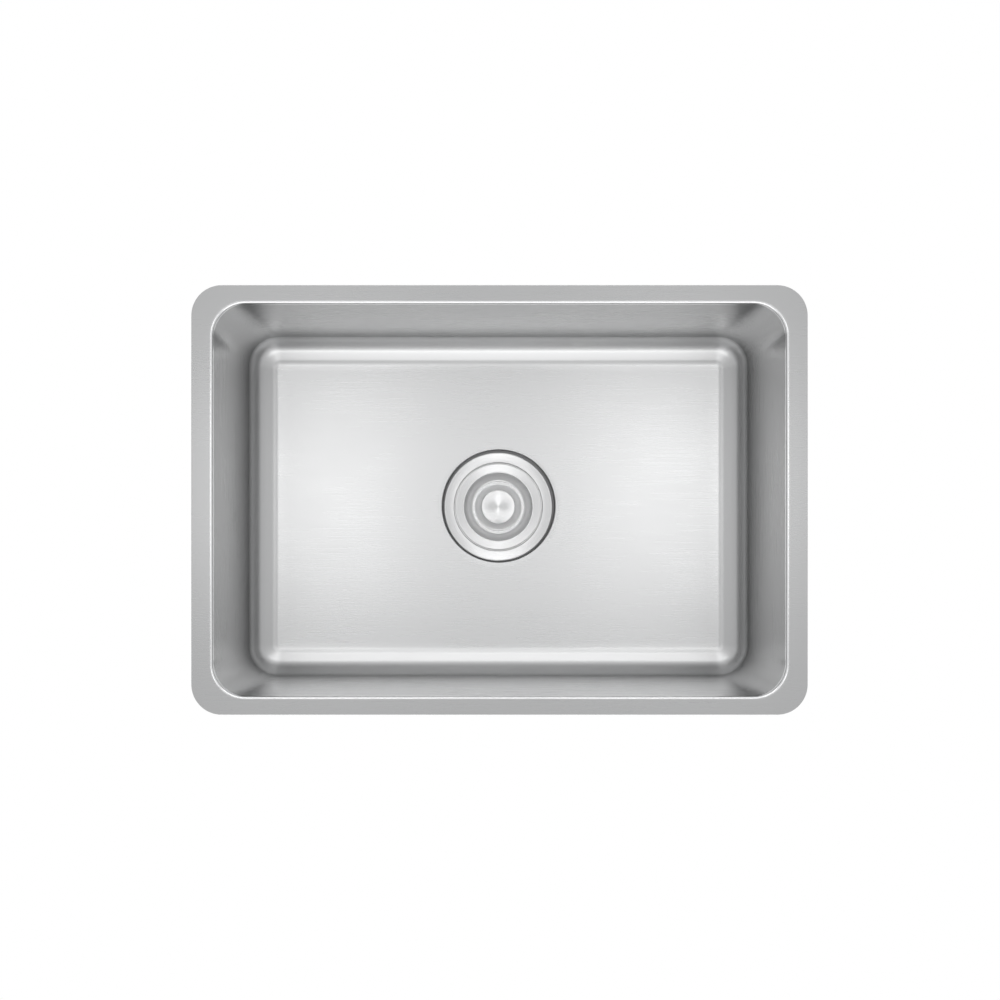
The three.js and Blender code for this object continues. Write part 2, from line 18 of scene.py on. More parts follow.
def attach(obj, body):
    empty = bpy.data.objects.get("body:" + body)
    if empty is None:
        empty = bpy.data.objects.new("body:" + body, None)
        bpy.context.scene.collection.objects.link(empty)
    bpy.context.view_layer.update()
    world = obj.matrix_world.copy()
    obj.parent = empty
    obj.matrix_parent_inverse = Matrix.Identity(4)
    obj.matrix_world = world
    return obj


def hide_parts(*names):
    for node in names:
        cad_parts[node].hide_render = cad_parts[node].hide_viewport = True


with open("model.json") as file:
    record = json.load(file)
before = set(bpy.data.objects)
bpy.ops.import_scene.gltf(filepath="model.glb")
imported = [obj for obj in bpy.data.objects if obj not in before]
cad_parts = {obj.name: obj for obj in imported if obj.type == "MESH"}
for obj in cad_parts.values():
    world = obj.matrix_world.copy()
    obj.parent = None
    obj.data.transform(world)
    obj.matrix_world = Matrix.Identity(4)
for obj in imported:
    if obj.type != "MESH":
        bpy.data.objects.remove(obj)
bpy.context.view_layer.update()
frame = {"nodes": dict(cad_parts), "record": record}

print("nodes:", len(frame["nodes"]))

# %% [markdown]
# ## Camera
#
# The photograph looks straight down into the bowl from about 1.4 m above the rim. The walls show
# how far the camera stood from the middle: more of the back wall is seen than of the front one. A
# small shift of the lens frames the rim, as the photographer's crop did.

# %% Straight down on the bowl
FOCAL_LENGTH, SENSOR_WIDTH = 53.5, 36
CAMERA_HEIGHT = 1.362


def placed(name, data):
    """A new object in the scene that shows the data."""
    made = bpy.data.objects.new(name, data)
    bpy.context.scene.collection.objects.link(made)
    return made


camera_data = bpy.data.cameras.new("camera_above")
camera_data.lens = FOCAL_LENGTH
camera_data.sensor_width = SENSOR_WIDTH
camera_data.shift_x = 0.010
camera_data.shift_y = 0.052
camera = placed("camera_above", camera_data)
camera.location = (-0.0087, -0.0477, CAMERA_HEIGHT)
bpy.context.scene.camera = camera
print("pixels per millimetre at the rim:", round(FOCAL_LENGTH / SENSOR_WIDTH / CAMERA_HEIGHT, 4))

# %% [markdown]
# ## Light
#
# Bare steel has no colour of its own to speak of: what it shows is the room. A pale even room
# gives the rim its grey, together with the darker colour that is painted on the rim. Two soft
# lamps overhead, one to each side, make the floor of the bowl lighter than the rim, and draw the
# sectors on the drain. Two long lower ones, behind and in front, show as the bright strips along
# the floor's long edges. The walls mirror the floor and each other, and their colour is painted
# darker on top of that.

# %% A pale room and soft lamps
scene = bpy.context.scene
scene.view_settings.view_transform = "Standard"

room = bpy.data.worlds.new("pale_room")
scene.world = room
room.use_nodes = True
room_light = room.node_tree.nodes["Background"]
room_light.inputs["Color"].default_value = (0.99, 0.994, 1.0, 1)
room_light.inputs["Strength"].default_value = 0.68


def soft_lamp(name, place, size, level, aim=(0, 0, -0.1)):
    """A rectangular lamp of that brightness, turned to its aim. Sizes are in metres."""
    lamp_data = bpy.data.lights.new(name, "AREA")
    lamp_data.shape = "RECTANGLE"
    lamp_data.size, lamp_data.size_y = size
    lamp_data.energy = level * pi * size[0] * size[1]
    lamp = placed(name, lamp_data)
    away = Vector(place) - Vector(aim)
    lamp.rotation_euler = away.to_track_quat("Z", "Y").to_euler()
    lamp.location = place
    lamp.visible_camera = False
    print(f"{name}: level {level}, {size[0]} x {size[1]} m")


for word, x in (("left", -0.36), ("right", 0.36)):
    soft_lamp(f"lamp_overhead_{word}", (x, 0.10, 1.7), (0.36, 0.40), 1.58, aim=(x, 0.10, 0))
soft_lamp("lamp_behind", (0, 1.22, 1.65), (1.8, 0.36), 1.50)
soft_lamp("lamp_in_front", (0, -1.35, 1.45), (1.8, 0.75), 1.10)

# %% [markdown]
# ## Wiring a finish
#
# Every finish is a small graph of nodes. A socket that is wrapped in a class with its own + - * /
# lets that graph be written as ordinary sums, which are far easier to read than links.

# %% Sockets that can be added and multiplied
class Wire:
    """An output socket of a finish. Sums with it add maths nodes."""

    def __init__(self, finish, socket):
        self.finish = finish
        self.socket = socket

    def maths(self, operation, *values):
        return self.finish.node("Math", {"operation": operation}, dict(enumerate(values)))

    def __add__(self, other):
        return self.maths("ADD", self, other)

    def __sub__(self, other):
        return self.maths("SUBTRACT", self, other)

    def __rsub__(self, other):
        return self.maths("SUBTRACT", other, self)

    def __mul__(self, other):
        return self.maths("MULTIPLY", self, other)

    def __truediv__(self, other):
        return self.maths("DIVIDE", self, other)

    def __rtruediv__(self, other):
        return self.maths("DIVIDE", other, self)

    def most(self, other):
        """The larger of two values."""
        return self.maths("MAXIMUM", self, other)

    __radd__ = __add__
    __rmul__ = __mul__


# %% [markdown]
# A second class holds a material while it is wired. It names the few nodes that nearly every
# finish needs: noise for grain, a ramp that picks out a part of the surface, and a bump.

# %% A material and its nodes
class Finish:
    """A material while its nodes are being wired."""

    def __init__(self, name, colour, roughness, metallic=0.0, **constants):
        self.material = bpy.data.materials.new(name)
        self.material.use_nodes = True
        self.tree = self.material.node_tree
        self.tree.nodes.clear()
        sockets = {"Base Color": (*colour, 1), "Roughness": roughness, "Metallic": metallic}
        self.shader = self.node("BsdfPrincipled", {}, {**sockets, **constants})
        self.output = self.node("OutputMaterial", {}, {"Surface": self.shader}, result=None)
        print("finish:", name)

    def node(self, kind, settings, inputs, result=0):
        """Adds a node: its settings first, then values or wires for its inputs."""
        added = self.tree.nodes.new("ShaderNode" + kind)
        for setting, value in settings.items():
            setattr(added, setting, value)
        for key, value in inputs.items():
            if isinstance(value, Wire):
                self.tree.links.new(value.socket, added.inputs[key])
            else:
                added.inputs[key].default_value = value
        return added if result is None else Wire(self, added.outputs[result])

    def object_place(self, scale=(1, 1, 1)):
        """Object coordinates, stretched along the axes."""
        coordinates = self.node("TexCoord", {}, {}, "Object")
        return self.node("VectorMath", {"operation": "MULTIPLY"}, {0: coordinates, 1: scale})

    def part(self, vector, axis):
        """One coordinate of a vector."""
        return self.node("SeparateXYZ", {}, {"Vector": vector}, axis)

    def normal(self):
        """The way that the surface looks."""
        return self.node("NewGeometry", {}, {}, "Normal")

    def grain(self, place, scale, detail=3.0):
        """Noise from 0 to 1 at a place."""
        values = {"Vector": place, "Scale": scale, "Detail": detail, "Roughness": 0.6}
        return self.node("TexNoise", {"noise_dimensions": "3D"}, values)

    def mix_colour(self, factor, first, second):
        """From the first colour to the second one."""
        mixed = self.node("Mix", {"data_type": "RGBA"}, {0: factor}, None)
        for socket, colour in ((mixed.inputs[6], first), (mixed.inputs[7], second)):
            if isinstance(colour, Wire):
                self.tree.links.new(colour.socket, socket)
            else:
                socket.default_value = (*colour, 1)
        return Wire(self, mixed.outputs[2])

    def shaded(self, colour, shade):
        """A colour times a shade."""
        return self.node("VectorMath", {"operation": "SCALE"}, {0: colour, "Scale": shade})

    def ramp(self, value, low, high):
        """0 at the low value and 1 at the high one, straight in between."""
        return self.node("MapRange", {}, {"Value": value, 1: low, 2: high}, "Result")

    def bumps(self, height, distance):
        """Feeds a height to the shader's normal. The distance is in metres."""
        values = {"Height": height, "Distance": distance}
        self.feed("Normal", self.node("Bump", {}, values, "Normal"))

    def feed(self, socket_name, wire):
        """Connects a wire to an input of the shader."""
        self.tree.links.new(wire.socket, self.shader.socket.node.inputs[socket_name])


# %% [markdown]
# ## Satin steel
#
# The bowl is ground with a fine belt and then blasted to a satin, so it mirrors softly the same
# way in all directions, with faint lines that run along each face. The lines are noise that is
# stretched along the grain. On the end walls the grain turns to follow them, so the faces
# pointing along X take a second noise that is stretched along Y. The rolled bead between rim and
# walls is polished last, so it is less rough. The steel's colour also carries painted reflection:
# each part of the bowl takes its own share of the colour, and the normal tells them apart. The
# bead is painted brightest, as a painted highlight, then the bends and the floor, then the walls
# and the rim, and the end walls are painted darkest. Smaller places get more painted light and
# shade: the end strips are painted darker, the top of the front wall and the bend at the back
# lighter, and the crease round the floor lighter in front and darker at the back.

# %% Where the bowl's colour is painted lighter or darker
# How strong each painted shade and painted light on the bowl's colour is.
END_SHADE_LEFT_ON_BENDS = 0.35
STRIP_PAINTED_SHADE, UPPER_FRONT_PAINTED_LIGHT, BACK_BEND_PAINTED_LIGHT, CREASE_PAINTED_LIGHT = 0.12, 0.30, 0.25, 0.6
BEND_HAZE = 0.05


def painted_shade_and_haze(finish, facing, sideways, level, height, wall, bend, end):
    """The painted shade of walls, bends and floor, and their haze, by the way the normal looks."""
    flat = finish.ramp(level, 0.992, 0.9995)
    bent = finish.ramp(level, 0.028, 0.12)
    strip = finish.ramp(level, 0.80, 0.94)
    crease = finish.ramp(level, 0.94, 0.97) * finish.ramp(level, 0.9995, 0.985)
    turn = (facing * facing - sideways * sideways) / (1.0001 - level * level)
    at_end = finish.ramp(turn, -0.7, 0.7)
    upper_front = finish.ramp(sideways, 0.7, 0.95) * finish.ramp(height, -0.16, -0.06)
    back_bend = finish.ramp(sideways, -0.4, -0.7) * bent
    # Painted shade and light: the walls, bends and end walls each take their own share of the
    # colour.
    shade = wall + bent * (bend - wall)
    shade = shade * (1 - at_end * (1 - end) * (1 - bent * (1 - END_SHADE_LEFT_ON_BENDS)))
    # More painted shade on the end strips, painted light on the upper front wall and the back
    # bend.
    shade = shade * (1 - at_end * strip * STRIP_PAINTED_SHADE + upper_front * UPPER_FRONT_PAINTED_LIGHT
                     + back_bend * BACK_BEND_PAINTED_LIGHT)
    # The floor keeps its full colour; the crease is painted lighter in front and darker behind.
    shade = shade + flat * (1 - shade) + crease * sideways * CREASE_PAINTED_LIGHT
    return shade, bent * (1 - flat) * BEND_HAZE


# %% The bowl's satin finish
STREAKS_ALONG, STREAKS_ACROSS = 14, 1100
RIM_FADE = (-0.0060, -0.0026)
BEAD_POLISH = 0.14


def satin_steel(name, colour, roughness, wall=1.0, bend=1.0, end=1.0, rim=1.0, bead=1.0):
    """Fine belt lines along each face, soft cloudy patches and a painted shade for each part."""
    finish = Finish(name, colour, roughness, metallic=1.0)
    stretched = (STREAKS_ALONG, STREAKS_ACROSS, STREAKS_ACROSS)
    along_x = finish.grain(finish.object_place(stretched), 1.0)
    stretched = (STREAKS_ACROSS, STREAKS_ALONG, STREAKS_ACROSS)
    along_y = finish.grain(finish.object_place(stretched), 1.0)
    normal = finish.normal()
    facing, sideways, level = (finish.part(normal, axis) for axis in "XYZ")
    height = finish.part(finish.object_place(), "Z")
    end_face = finish.ramp(facing * facing, 0.35, 0.65)
    lines = along_x * (1 - end_face) + along_y * end_face
    clouds = finish.grain(finish.object_place(), 9.0, detail=2.0)
    on_rim = finish.ramp(height, *RIM_FADE)
    on_bead = on_rim * finish.ramp(height, 0.0, -0.0001)
    shade, haze = painted_shade_and_haze(finish, facing, sideways, level, height, wall, bend, end)
    # Painted shade on the rim and a painted highlight on the bead, as shares of the colour.
    shade = shade + on_rim * (rim - shade)
    shade = shade + on_bead * (bead - shade)
    gloss = on_bead * BEAD_POLISH - haze
    finish.feed("Roughness", roughness - gloss + (lines - 0.5) * 0.06 + (clouds - 0.5) * 0.04)
    darker = tuple(0.98 * part for part in colour)
    lighter = tuple(1.015 * part for part in colour)
    steel = finish.mix_colour(lines * 0.7 + clouds * 0.3, darker, lighter)
    # The painted shade scales the steel's colour.
    finish.feed("Base Color", finish.shaded(steel, shade))
    finish.bumps(lines, 0.000001)
    return finish.material


# The shares paint shade on the walls, end walls and rim, light on the bends and a highlight on the
# bead.
bowl_satin = satin_steel("bowl_satin", (0.712, 0.714, 0.715), 0.28,
                         wall=0.86, bend=1.06, end=0.68, rim=0.78, bead=1.38)
# The basket's shares are even, but it still gets the painted light and shade that follows the
# normal.
basket_satin = satin_steel("basket_satin", (0.70, 0.702, 0.704), 0.26)

# %% [markdown]
# ## Turned steel
#
# The flange, the lid and its knob are finished on a lathe, which leaves rings of very fine
# grooves, and are buffed from the middle outwards. That stretches a highlight round the drain's
# axis, and makes the bright and dark sectors on the knob. The shader's anisotropy does the
# stretching, and noise that depends on the radius alone draws the rings. The buff hardly reaches
# the steep flanks of the lid's trough, so the haze of the lathe stays on them. On every turned
# piece the colour of steep faces is also painted lighter, as a painted highlight.

# %% Rings left by the lathe
BRIGHT_STEEL = (0.82, 0.821, 0.822)
# How much lighter the colour of steep faces is painted: a painted highlight.
FLANK_PAINTED_HIGHLIGHT = 0.17


def turned_steel(name, roughness, spread, haze=0.0):
    """Bright steel with concentric marks round the drain's axis, and a painted highlight on steep
    faces.
    """
    finish = Finish(name, BRIGHT_STEEL, roughness, metallic=1.0, Anisotropic=spread)
    flat_place = finish.object_place((1, 1, 0))
    radius = finish.node("VectorMath", {"operation": "LENGTH"}, {0: flat_place}, "Value")
    height = finish.part(finish.object_place(), "Z")
    ring_place = finish.node("CombineXYZ", {}, {"X": radius, "Y": height}, "Vector")
    rings = finish.grain(ring_place, 1900.0, detail=2.0)
    broad_rings = finish.grain(ring_place, 260.0, detail=1.0)
    marks = rings * 0.65 + broad_rings * 0.35
    outwards = finish.node("VectorMath", {"operation": "DOT_PRODUCT"},
                           {0: finish.normal(), 1: flat_place}, "Value")
    tilt = outwards / radius
    flank = finish.ramp(tilt * tilt, 0.01, 0.25)
    finish.feed("Roughness", roughness + flank * haze + (marks - 0.5) * 0.10)
    darker = tuple(0.93 * part for part in BRIGHT_STEEL)
    lighter = tuple(1.04 * part for part in BRIGHT_STEEL)
    steel = finish.mix_colour(marks, darker, lighter)
    # Painted highlight: the colour of steep faces is painted lighter.
    finish.feed("Base Color", finish.shaded(steel, 1 + flank * FLANK_PAINTED_HIGHLIGHT))
    finish.bumps(marks, 0.000003)
    return finish.material


lid_turned = turned_steel("lid_turned", 0.25, 0.92, haze=0.25)
knob_turned = turned_steel("knob_turned", 0.22, 0.96)
body_turned = turned_steel("body_turned", 0.25, 0.92)

# %% [markdown]
# ## The finishes under the sink
#
# Nothing below the floor is polished for show. The tailpiece is plated tube with faint draw marks
# along it, the two nuts are die-cast zinc with a grainy skin, the seals and pads are rubber, the
# slip ring is pressed fibre board, and the tailpiece seals on a white plastic washer.

# %% Plated tube and cast zinc
def plated_tube(name):
    """Bright plating with faint draw marks along Z and a little handling haze."""
    finish = Finish(name, (0.80, 0.805, 0.815), 0.13, metallic=1.0)
    draw_marks = finish.grain(finish.object_place((900, 900, 12)), 1.0, detail=2.0)
    haze = finish.grain(finish.object_place(), 60.0)
    finish.feed("Roughness", 0.06 + draw_marks * 0.09 + haze * 0.08)
    finish.feed("Base Color", finish.mix_colour(haze, (0.77, 0.775, 0.785), (0.84, 0.845, 0.85)))
    finish.bumps(draw_marks, 0.000003)
    return finish.material


def cast_zinc(name):
    """A dull grey casting: grainy, with darker patches where it cooled."""
    finish = Finish(name, (0.50, 0.50, 0.50), 0.5, metallic=1.0)
    skin = finish.grain(finish.object_place(), 900.0, detail=4.0)
    patches = finish.grain(finish.object_place(), 70.0, detail=2.0)
    finish.feed("Roughness", 0.38 + skin * 0.18 + patches * 0.08)
    finish.feed("Base Color", finish.mix_colour(patches, (0.44, 0.44, 0.445), (0.60, 0.60, 0.60)))
    finish.bumps(skin * 0.7 + patches * 0.3, 0.00006)
    return finish.material


tube_plating = plated_tube("tube_plating")
nut_zinc = cast_zinc("nut_zinc")


# %% Rubber, plastic and fibre board
def moulded(name, dark, light, roughness, grain_scale, depth):
    """A soft or moulded finish: matt, with an even fine grain."""
    finish = Finish(name, light, roughness)
    skin = finish.grain(finish.object_place(), grain_scale, detail=4.0)
    dust = finish.grain(finish.object_place(), grain_scale / 18, detail=3.0)
    finish.feed("Roughness", roughness + (skin - 0.5) * 0.16)
    finish.feed("Base Color", finish.mix_colour(skin * 0.5 + dust * 0.5, dark, light))
    finish.bumps(skin, depth)
    return finish.material


def pressed_fibre(name):
    """Fibre board: short fibres that lie flat, in warm greys and browns."""
    finish = Finish(name, (0.46, 0.35, 0.22), 0.85)
    fibres = finish.grain(finish.object_place((420, 1600, 1600)), 1.0, detail=4.0)
    crossing = finish.grain(finish.object_place((1600, 420, 1600)), 1.0, detail=4.0)
    felt = fibres * 0.5 + crossing * 0.5
    finish.feed("Base Color", finish.mix_colour(felt, (0.33, 0.24, 0.14), (0.60, 0.48, 0.32)))
    finish.feed("Roughness", 0.78 + felt * 0.18)
    finish.bumps(felt, 0.00008)
    return finish.material


seal_rubber = moulded("seal_rubber", (0.012, 0.012, 0.013), (0.035, 0.035, 0.037),
                      roughness=0.6, grain_scale=1500, depth=0.00003)
gasket_rubber = moulded("gasket_rubber", (0.26, 0.26, 0.265), (0.35, 0.35, 0.355),
                        roughness=0.6, grain_scale=1500, depth=0.00003)
pad_rubber = moulded("pad_rubber", (0.045, 0.047, 0.05), (0.085, 0.088, 0.093),
                     roughness=0.8, grain_scale=700, depth=0.0001)
washer_fibre = pressed_fibre("washer_fibre")
washer_plastic = moulded("washer_plastic", (0.74, 0.74, 0.72), (0.83, 0.83, 0.81),
                         roughness=0.42, grain_scale=1200, depth=0.00001)

# %% [markdown]
# ## Finishing a piece
#
# Pieces are modelled in millimetres, because that is how a sink is drawn, and shrunk to metres at
# the end. Every piece rides on a body of the measured model and stands for one of its nodes.
# Faces that meet at a shallow angle are shaded as one smooth surface, and real corners stay
# crisp.

# %% From millimetres to a finished piece
MILLIMETRE = 0.001
CRISP_ANGLE = radians(35)
triangles_made = []


def finished(name, bm, node, material):
    """Makes the object that replaces a node of the measured model."""
    bmesh.ops.scale(bm, vec=(MILLIMETRE,) * 3, verts=bm.verts)
    mesh = bpy.data.meshes.new(name)
    bm.to_mesh(mesh)
    triangles = sum(len(face.verts) - 2 for face in bm.faces)
    open_edges = sum(not edge.is_manifold for edge in bm.edges)
    bm.free()
    mesh.shade_smooth()
    mesh.set_sharp_from_angle(angle=CRISP_ANGLE)
    mesh.materials.append(material)
    made = placed(name, mesh)
    body = next(b for b, nodes in frame["record"]["behaviour"]["bodies"].items() if node in nodes)
    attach(made, body)
    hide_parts(node)
    triangles_made.append(triangles)
    print(f"{name}: {triangles} triangles, {open_edges} open edges, rides on {body}")


# %% Choosing and rounding edges
def bevelled(bm, parts, width, segments, affect="EDGES"):
    """Rounds edges or corners."""
    bmesh.ops.bevel(bm, geom=list(parts), offset=width, offset_type="OFFSET", segments=segments,
                    profile=0.5, affect=affect, material=-1, clamp_overlap=False)


def loop_edges(bm, height):
    """The edges that lie in a level plane at the height."""
    return [e for e in bm.edges if all(abs(v.co.z - height) < 0.01 for v in e.verts)]


def upright_edges(bm):
    """The edges whose ends differ in height by more than 1 mm."""
    return [e for e in bm.edges if abs(e.verts[0].co.z - e.verts[1].co.z) > 1]


def open_loop(bm, test):
    """The edges of an opening in the skin whose ends pass the test."""
    return [e for e in bm.edges if e.is_boundary and all(test(v.co) for v in e.verts)]


def points_in(parts):
    """The points among what an operator returned."""
    return [part for part in parts if isinstance(part, bmesh.types.BMVert)]


def edges_in(parts):
    """The edges among what an operator returned."""
    return [part for part in parts if isinstance(part, bmesh.types.BMEdge)]


# %% [markdown]
# ## The bowl
#
# A press draws the bowl from one sheet, so it has no seams, and every bend is round. Here it
# starts as a box of the opening's size. Its foot is drawn in so that the walls lean, and its
# upright edges are bevelled to 30 mm. The floor is inset and pushed down a little, because the
# die leaves a soft crease round the floor, with a narrow sloping strip outside it. The strips
# along the long sides mirror the lower lamps. Then the foot of the walls is bevelled, which
# leaves small tight corners on the floor, as on the real one.

# %% A box with leaning walls and round corners
OPENING_LENGTH, OPENING_WIDTH, OPENING_CORNER = 526, 360, 30
FLOOR_EDGE_HEIGHT = -201
WALL_LEAN = 5.2
FLOOR_BORDER = 23.6
STRIP_WIDTH = 9
STRIP_SLOPE = radians(20)
WALL_FOOT_HEIGHT = FLOOR_EDGE_HEIGHT + FLOOR_BORDER * tan(STRIP_SLOPE)
FLOOR_FILLET = FLOOR_BORDER - STRIP_WIDTH
FILLET_TOP = WALL_FOOT_HEIGHT + FLOOR_FILLET
CREASE_WIDTH = 3.5
BEAD_RADIUS = 2.5
CORNER_SEGMENTS = 24
FLOOR_FALL = 0.012
RECESS_EDGE_RADIUS = 62.5
FLOOR_AT_DRAIN = -203

bowl = bmesh.new()
bmesh.ops.create_cube(bowl, size=1)
bmesh.ops.scale(bowl, vec=(OPENING_LENGTH, OPENING_WIDTH, -WALL_FOOT_HEIGHT), verts=bowl.verts)
bmesh.ops.translate(bowl, vec=(0, 0, WALL_FOOT_HEIGHT / 2), verts=bowl.verts)
for vertex in bowl.verts:
    if vertex.co.z < -1:
        vertex.co.x -= copysign(WALL_LEAN, vertex.co.x)
        vertex.co.y -= copysign(WALL_LEAN, vertex.co.y)
bevelled(bowl, upright_edges(bowl), OPENING_CORNER, CORNER_SEGMENTS)
floor_face = min(bowl.faces, key=lambda face: face.calc_center_median().z)
bmesh.ops.inset_individual(bowl, faces=[floor_face], thickness=FLOOR_BORDER, use_even_offset=True)
drop = FLOOR_EDGE_HEIGHT - WALL_FOOT_HEIGHT
bmesh.ops.translate(bowl, vec=(0, 0, drop), verts=floor_face.verts)
bevelled(bowl, loop_edges(bowl, WALL_FOOT_HEIGHT), FLOOR_FILLET, 20)
bevelled(bowl, loop_edges(bowl, FLOOR_EDGE_HEIGHT), CREASE_WIDTH, 6)
floor_face = min(bowl.faces, key=lambda face: face.calc_center_median().z)
mouth_face = max(bowl.faces, key=lambda face: face.calc_center_median().z)
bmesh.ops.delete(bowl, geom=[floor_face, mouth_face], context="FACES_ONLY")
print("bowl box:", len(bowl.verts), "points")

# %% [markdown]
# Long flat faces shade badly next to tight bends, because one point's normal has to serve both.
# Cuts across the walls keep each bend's shading to itself. They also give the rim and the floor
# evenly spaced points to join to.

# %% Cuts that hold the flats flat
LENGTHWISE_CUTS = [20 * step for step in range(-11, 12)]
CROSSWISE_CUTS = [20 * step for step in range(-7, 8)]
LEVEL_CUTS = (-3, -6, -30, -70, -110, -145, -170, FILLET_TOP + 0.4)


def cut(bm, place, normal, clear_outer=False):
    """Cuts every face that a plane crosses, and takes away what lies past it if asked."""
    everything = [*bm.verts, *bm.edges, *bm.faces]
    bmesh.ops.bisect_plane(bm, geom=everything, dist=0.0001, plane_co=place, plane_no=normal,
                           clear_outer=clear_outer)


def at_mouth(place):
    """Whether a place is level with the rim."""
    return place.z > -1


for x in LENGTHWISE_CUTS:
    cut(bowl, (x, 0, 0), (1, 0, 0))
for y in CROSSWISE_CUTS:
    cut(bowl, (0, y, 0), (0, 1, 0))
for z in LEVEL_CUTS:
    cut(bowl, (0, 0, z), (0, 0, 1))
LOOP_POINTS = len(open_loop(bowl, at_mouth))
print("points round the opening:", LOOP_POINTS)

# %% [markdown]
# The floor falls by 1.2% towards the drain, like a very flat funnel. The points of the floor's
# edge are raised to that funnel, and the walls above them by less and less, so that the rim stays
# level.

# %% The floor's fall
def floor_height(x, y):
    """Height of the floor's upper face."""
    return FLOOR_AT_DRAIN + FLOOR_FALL * (hypot(x, y) - RECESS_EDGE_RADIUS)


for vertex in bowl.verts:
    x, y, z = vertex.co
    share = min(max((-z - BEAD_RADIUS) / (-FILLET_TOP - BEAD_RADIUS), 0), 1)
    vertex.co.z += share * (floor_height(x, y) - FLOOR_EDGE_HEIGHT)

drain_ring = bmesh.ops.create_circle(bowl, segments=LOOP_POINTS, radius=RECESS_EDGE_RADIUS + 3)
bmesh.ops.translate(bowl, vec=(0, 0, FLOOR_AT_DRAIN), verts=drain_ring["verts"])
ring_edges = {e for v in drain_ring["verts"] for e in v.link_edges}
floor_edges = open_loop(bowl, lambda place: place.z < -100)
joined = bmesh.ops.bridge_loops(bowl, edges=[*floor_edges, *ring_edges])
spokes = [e for e in joined["edges"] if e not in ring_edges and e not in floor_edges]
inner = bmesh.ops.subdivide_edges(bowl, edges=spokes, cuts=14, use_grid_fill=True)["geom_inner"]
for vertex in points_in(inner):
    vertex.co.z = floor_height(vertex.co.x, vertex.co.y)
print("floor at its corners:", round(floor_height(234, 151), 2), "mm")

# %% [markdown]
# The strainer sits in a shallow round recess. The ring round the drain is drawn inwards, down and
# inwards again, and then the two corners are rounded. The strainer sits where its nut pulled it,
# a little to the front left, so the recess is drawn off its axis, and the dark gap round the
# flange is wider at the back.

# %% The strainer's recess
RECESS_RADIUS = 59.4
RECESS_OFF_AXIS = (0.4, 0.8)
RECESS_FLOOR = -209
DRAIN_HOLE_RADIUS = 44.9


def drawn_on(bm, loop, radius, height, off_axis=(0, 0)):
    """Extrudes an open ring of edges to a new radius, height and centre."""
    new_parts = bmesh.ops.extrude_edge_only(bm, edges=loop)["geom"]
    for vertex in points_in(new_parts):
        reach = radius / hypot(vertex.co.x, vertex.co.y)
        vertex.co = (vertex.co.x * reach + off_axis[0], vertex.co.y * reach + off_axis[1], height)
    return edges_in(new_parts)


recess_top = drawn_on(bowl, list(ring_edges), RECESS_RADIUS, FLOOR_AT_DRAIN, RECESS_OFF_AXIS)
recess_foot = drawn_on(bowl, recess_top, RECESS_RADIUS, RECESS_FLOOR, RECESS_OFF_AXIS)
drawn_on(bowl, recess_foot, DRAIN_HOLE_RADIUS, RECESS_FLOOR)
bevelled(bowl, recess_top, 1.2, 5)
bevelled(bowl, recess_foot, 0.6, 3)
print("recess:", 2 * RECESS_RADIUS, "mm across")

# %% [markdown]
# The rim's outline has tighter corners than an even border would have, so it isn't an offset of
# the opening. It is a rectangle of its own with bevelled corners, bridged to the opening. The
# outline is lifted while the bridge is made, because two loops in one plane give it no clear way
# round. A narrow band inside the outline keeps the rim's shading flat up to its cut edge. The
# edge between rim and wall is then rolled to the 2.5 mm bead that catches the light.

# %% The flat rim and its bead
RIM_LENGTH, RIM_WIDTH, RIM_CORNER = 565, 394, 28
STEP_OUT, STEP_IN = 6.2, 1.2  # on the whole length and width
LIFT = 50


def grown(bm, points, amount, length, width):
    """Makes a loop of points that much longer and wider."""
    bmesh.ops.scale(bm, vec=(1 + amount / length, 1 + amount / width, 1), verts=points)


outline = bmesh.ops.create_grid(bowl, x_segments=1, y_segments=1, size=0.5)
corners = outline["verts"]
bmesh.ops.scale(bowl, vec=(RIM_LENGTH, RIM_WIDTH, 1), verts=corners)
sides = {e for v in corners for e in v.link_edges}
faces = {f for v in corners for f in v.link_faces}
bmesh.ops.delete(bowl, geom=list(faces), context="FACES_ONLY")
print("rim outline:", len(corners), "corners", len(sides), "sides")
bevelled(bowl, corners, RIM_CORNER, CORNER_SEGMENTS, "VERTICES")
for along, cuts in ((0, len(LENGTHWISE_CUTS)), (1, len(CROSSWISE_CUTS))):
    straight = [e for e in bowl.edges if e.is_wire
                and abs(e.verts[0].co[along] - e.verts[1].co[along]) > 100]
    bmesh.ops.subdivide_edges(bowl, edges=straight, cuts=cuts)

bead_edge = open_loop(bowl, at_mouth)
step_out = bmesh.ops.extrude_edge_only(bowl, edges=bead_edge)["geom"]
grown(bowl, points_in(step_out), STEP_OUT, OPENING_LENGTH, OPENING_WIDTH)
rim_edges = [e for e in bowl.edges if e.is_wire]
rim_points = list({v for e in rim_edges for v in e.verts})
inner_edges = open_loop(bowl, at_mouth)
step_in = bmesh.ops.extrude_edge_only(bowl, edges=rim_edges)["geom"]
grown(bowl, points_in(step_in), -STEP_IN, RIM_LENGTH, RIM_WIDTH)
rim_points += points_in(step_in)
bmesh.ops.translate(bowl, vec=(0, 0, LIFT), verts=rim_points)
bmesh.ops.bridge_loops(bowl, edges=[*inner_edges, *edges_in(step_in)])
bmesh.ops.translate(bowl, vec=(0, 0, -LIFT), verts=rim_points)
bevelled(bowl, bead_edge, BEAD_RADIUS, 8)
print("rim:", RIM_LENGTH, "x", RIM_WIDTH, "mm")

# %% [markdown]
# So far the bowl is a skin without thickness. Its faces are turned to look up and inwards first,
# and only then does it get the 1.2 mm of the sheet, which grows outwards. The cut edge of the rim
# is broken slightly, as a deburred edge is.

# %% The sheet's thickness
SHEET = 1.2


